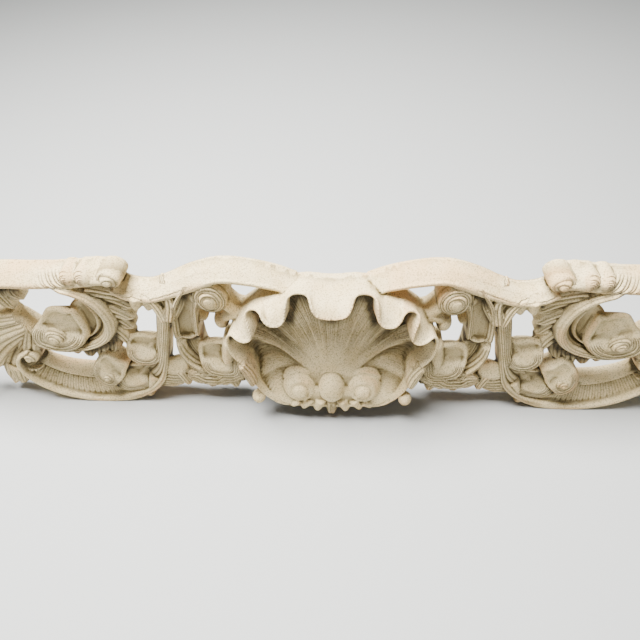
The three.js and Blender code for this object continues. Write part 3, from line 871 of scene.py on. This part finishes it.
# %% The finished piece and its measures
# The millimetres that count as a full hollow. A measure is kept as 0.5 where the surface is even, 1 in a
# full hollow and 0 on a full hill. The overhang is kept as half its slope.
FINE_FULL, BROAD_FULL, RECESS_FULL = 1.2, 4.0, 48.0
piece_mesh = mesh_of("carved_headpiece_stone", points, tris)
for name, values in [("fine", fine / FINE_FULL), ("broad", broad / BROAD_FULL),
                     ("recess", recess / RECESS_FULL), ("shade", shade - 1)]:
    layer = piece_mesh.attributes.new(name, "FLOAT", "POINT")
    layer.data.foreach_set("value", np.clip(0.5 + 0.5 * values, 0, 1).astype(np.float32))
piece_mesh.polygons.foreach_set("use_smooth", np.ones(len(tris), bool))
carving.data = piece_mesh
carving.name = "carved_headpiece_stone"
piece_mesh.color_attributes.new("lines", "FLOAT_COLOR", "POINT")
piece_mesh = modified(carving, "DATA_TRANSFER", object=drawing, use_vert_data=True,
                      data_types_verts={"COLOR_VERTEX"}, vert_mapping="POLYINTERP_NEAREST")
bpy.data.objects.remove(drawing)
lines = np.empty(len(points) * 4, np.float32)
piece_mesh.color_attributes["lines"].data.foreach_get("color", lines)
print("fine lines, phase and strength:", lines[0::4].min(), lines[0::4].max(), lines[1::4].max())
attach(carving, "root")
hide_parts("carved_headpiece")

# %% [markdown]
# ## Cast stone
# The stone is a warm cream with a fine dark speckle. Raised places are rubbed to a pinkish ochre. Hollows,
# creases, recesses and the valleys of the fine cut lines get a painted dark grey green shade, and the
# undersides of the lip and other overhangs get a painted near black shadow. The surface is matt and sandy.
# All of it comes from noise on the object's own coordinates and from the hollows, recesses and overhangs
# measured on the mesh.

# %% Shader sums written as Python
class Wire:
    """One socket of a shader tree. Sums of wires and numbers add their Math nodes."""

    def __init__(self, tree, socket=None):
        self.tree, self.socket = tree, socket

    def node(self, kind, settings=None, values=None, out=0):
        """Adds a node: its settings first, then the values or links of its sockets."""
        made = self.tree.nodes.new(kind)
        for key, value in (settings or {}).items():
            setattr(made, key, value)
        for key, value in (values or {}).items():
            if isinstance(value, Wire):
                self.tree.links.new(value.socket, made.inputs[key])
            else:
                made.inputs[key].default_value = value
        return Wire(self.tree, made.outputs[out] if made.outputs else None)

    def maths(self, operation, *others):
        """A Math node on this socket and others."""
        return self.node("ShaderNodeMath", {"operation": operation}, dict(enumerate([self, *others])))

    def __add__(self, other):
        return self.maths("ADD", other)

    __radd__ = __add__

    def __mul__(self, other):
        return self.maths("MULTIPLY", other)

    __rmul__ = __mul__

    def __sub__(self, other):
        return self.maths("SUBTRACT", other)

    def __rsub__(self, other):
        return (self * -1.0) + other

    def between(self, low, high):
        """0 below low, 1 above high, smooth between."""
        return self.node("ShaderNodeMapRange", {"interpolation_type": "SMOOTHSTEP"},
                         {"Value": self, "From Min": low, "From Max": high})

    def mixed(self, first, second):
        """The colour from first to second, with this socket as the factor."""
        return self.node("ShaderNodeMix", {"data_type": "RGBA"}, {"Factor": self, 6: first, 7: second}, 2)


# %% The stone
def srgb(r, g, b):
    """A colour given in 0 to 255 as seen on a screen, turned into the linear values of a shader."""
    c = np.array([r, g, b]) / 255
    return (*np.where(c <= 0.04045, c / 12.92, ((c + 0.055) / 1.055) ** 2.4), 1.0)


stone = bpy.data.materials.new("cast_stone_cream")
stone.use_nodes = True
tree = stone.node_tree
tree.nodes.clear()
w = Wire(tree)
where = w.node("ShaderNodeTexCoord", out=3)


def noise(scale, detail, rough=0.55):
    """Noise on the object's own coordinates, with this many waves to a metre."""
    return w.node("ShaderNodeTexNoise", None,
                  {"Vector": where, "Scale": scale, "Detail": detail, "Roughness": rough})


def measured(name):
    """One of the measures kept on the mesh."""
    return w.node("ShaderNodeAttribute", {"attribute_name": name}, out=2)


CREAM, DEEP_CREAM = srgb(240, 219, 170), srgb(228, 204, 152)
# Painted shade: the dark grey green stands for the shade in hollows and recesses, and the near black brown
# beside it is painted shadow under overhangs.
PAINTED_HOLLOW_SHADE, PAINTED_SHADOW_UNDER_LIP = srgb(100, 86, 48), srgb(44, 37, 18)
RUBBED_OCHRE, SPECK = srgb(232, 188, 132), srgb(120, 96, 60)
# Heights of the surface's relief in metres.
SAND, GRIT, CUT = 0.0012, 0.0005, 0.0024

fine_w, broad_w, recess_w, shade_w = (measured(name) for name in ("fine", "broad", "recess", "shade"))
patches = noise(9, 3)
mottle = noise(38, 4)
cut_w = w.node("ShaderNodeAttribute", {"attribute_name": "lines"})
phase_w = cut_w.node("ShaderNodeSeparateColor", None, {"Color": cut_w}, 0)
strength_w = cut_w.node("ShaderNodeSeparateColor", None, {"Color": cut_w}, 1)
rib_w = (phase_w * np.pi).maths("SINE").maths("ABSOLUTE").maths("POWER", 0.7)
valley_w = (1 - rib_w) * strength_w
sand = noise(420, 3, 0.7)
grit = noise(1100, 2, 0.6)
cream = mottle.between(0.35, 0.68).mixed(CREAM, DEEP_CREAM)
# Painted shade: this mask is strongest in broad hollows, deep recesses, creases and the valleys of the fine
# cut lines, and it mixes the cream towards a dark grey green where shade falls.
hollows = (broad_w.between(0.54, 0.85) * 0.5 + recess_w.between(0.66, 0.92) * 0.95
           + fine_w.between(0.56, 0.9) * 0.6 + valley_w * 0.8)
hollows = hollows.maths("MINIMUM", 1.0)
shaded = (hollows * (0.75 + 0.4 * patches)).mixed(cream, PAINTED_HOLLOW_SHADE)
# Painted shadow: where stone above hides the sky, as under the shell's lip, in the arches and under leaves,
# the colour is mixed towards a near black brown.
shaded = (shade_w.between(0.15, 0.46) * 0.95).mixed(shaded, PAINTED_SHADOW_UNDER_LIP)
raised = (0.5 - broad_w).between(0.08, 0.4) * patches.between(0.46, 0.62) * 0.55
rubbed = raised.mixed(shaded, RUBBED_OCHRE)
speckle = noise(500, 3, 0.7).between(0.50, 0.64) * 0.62
colour = speckle.mixed(rubbed, SPECK)
height = sand * SAND + grit * GRIT + rib_w * strength_w * CUT
normal = w.node("ShaderNodeBump", None, {"Strength": 1.0, "Distance": 1.0, "Height": height})
bsdf = w.node("ShaderNodeBsdfPrincipled", None,
              {"Base Color": colour, "Roughness": 0.9, "Specular IOR Level": 0.25, "Normal": normal})
w.node("ShaderNodeOutputMaterial", None, {"Surface": bsdf})
piece_mesh.materials.append(stone)
print("stone material:", len(tree.nodes), "nodes")

# %% [markdown]
# ## Floor, light and camera
# The object stands on a plain pale floor under a wide soft light from above, as under a cloudy sky. The
# camera stands close in front and looks down at about 50 degrees, as the photographer did.

# %% Floor
FLOOR = 30.0
floor_mesh = bpy.data.meshes.new("floor")
floor_mesh.from_pydata([(-FLOOR, -FLOOR, 0), (FLOOR, -FLOOR, 0), (FLOOR, FLOOR, 0), (-FLOOR, FLOOR, 0)],
                       [], [(0, 1, 2, 3)])
floor = bpy.data.objects.new("floor", floor_mesh)
bpy.context.scene.collection.objects.link(floor)
pale = bpy.data.materials.new("pale_floor")
pale.use_nodes = True
pale_bsdf = pale.node_tree.nodes["Principled BSDF"]
pale_bsdf.inputs["Base Color"].default_value = srgb(186, 187, 184)
pale_bsdf.inputs["Roughness"].default_value = 0.9
floor_mesh.materials.append(pale)


# %% Lights
SKY_POWER = 280
CLOUD = 0.15


def soft_light(name, place, target, size, power):
    """A square area light that looks at a target."""
    lamp = bpy.data.lights.new(name, "AREA")
    lamp.shape, lamp.size, lamp.energy = "SQUARE", size, power
    holder = bpy.data.objects.new(name, lamp)
    holder.location = place
    holder.rotation_euler = (Vector(target) - Vector(place)).to_track_quat("-Z", "Y").to_euler()
    bpy.context.scene.collection.objects.link(holder)


soft_light("sky", (-0.5, 0.1, 2.2), (0, 0, 0.1), 1.1, SKY_POWER)
world = bpy.data.worlds.new("cloud")
world.use_nodes = True
world.node_tree.nodes["Background"].inputs["Color"].default_value = (0.93, 0.97, 1.0, 1)
world.node_tree.nodes["Background"].inputs["Strength"].default_value = CLOUD
bpy.context.scene.world = world
print("sky light of", SKY_POWER, "W and a cloud of strength", CLOUD)

# %% Camera
# The focal length and the width of the image in pixels, and the width of the sensor in millimetres.
FOCAL, IMAGE, SENSOR = 483, 640, 36
PITCH, YAW, ROLL = np.radians([50.0, 3.2, -1.75])
eye = Vector((0.0078, -0.431, 0.740))
right = np.array([np.cos(YAW), np.sin(YAW), 0])
ahead = np.array([-np.sin(YAW) * np.cos(PITCH), np.cos(YAW) * np.cos(PITCH), -np.sin(PITCH)])
above = np.cross(right, ahead)
cam_x = right * np.cos(ROLL) + above * np.sin(ROLL)
cam_y = above * np.cos(ROLL) - right * np.sin(ROLL)
lens = bpy.data.cameras.new("view")
lens.sensor_fit, lens.sensor_width, lens.lens = "HORIZONTAL", SENSOR, FOCAL / IMAGE * SENSOR
camera = bpy.data.objects.new("view", lens)
axes = np.stack([cam_x, cam_y, -ahead], axis=1).tolist()
camera.matrix_world = Matrix([[*row, place] for row, place in zip(axes, eye)] + [[0, 0, 0, 1]])
bpy.context.scene.collection.objects.link(camera)
bpy.context.scene.camera = camera
print("camera", round(np.hypot(eye.y, eye.z), 3), "m away, lens", lens.lens, "mm")
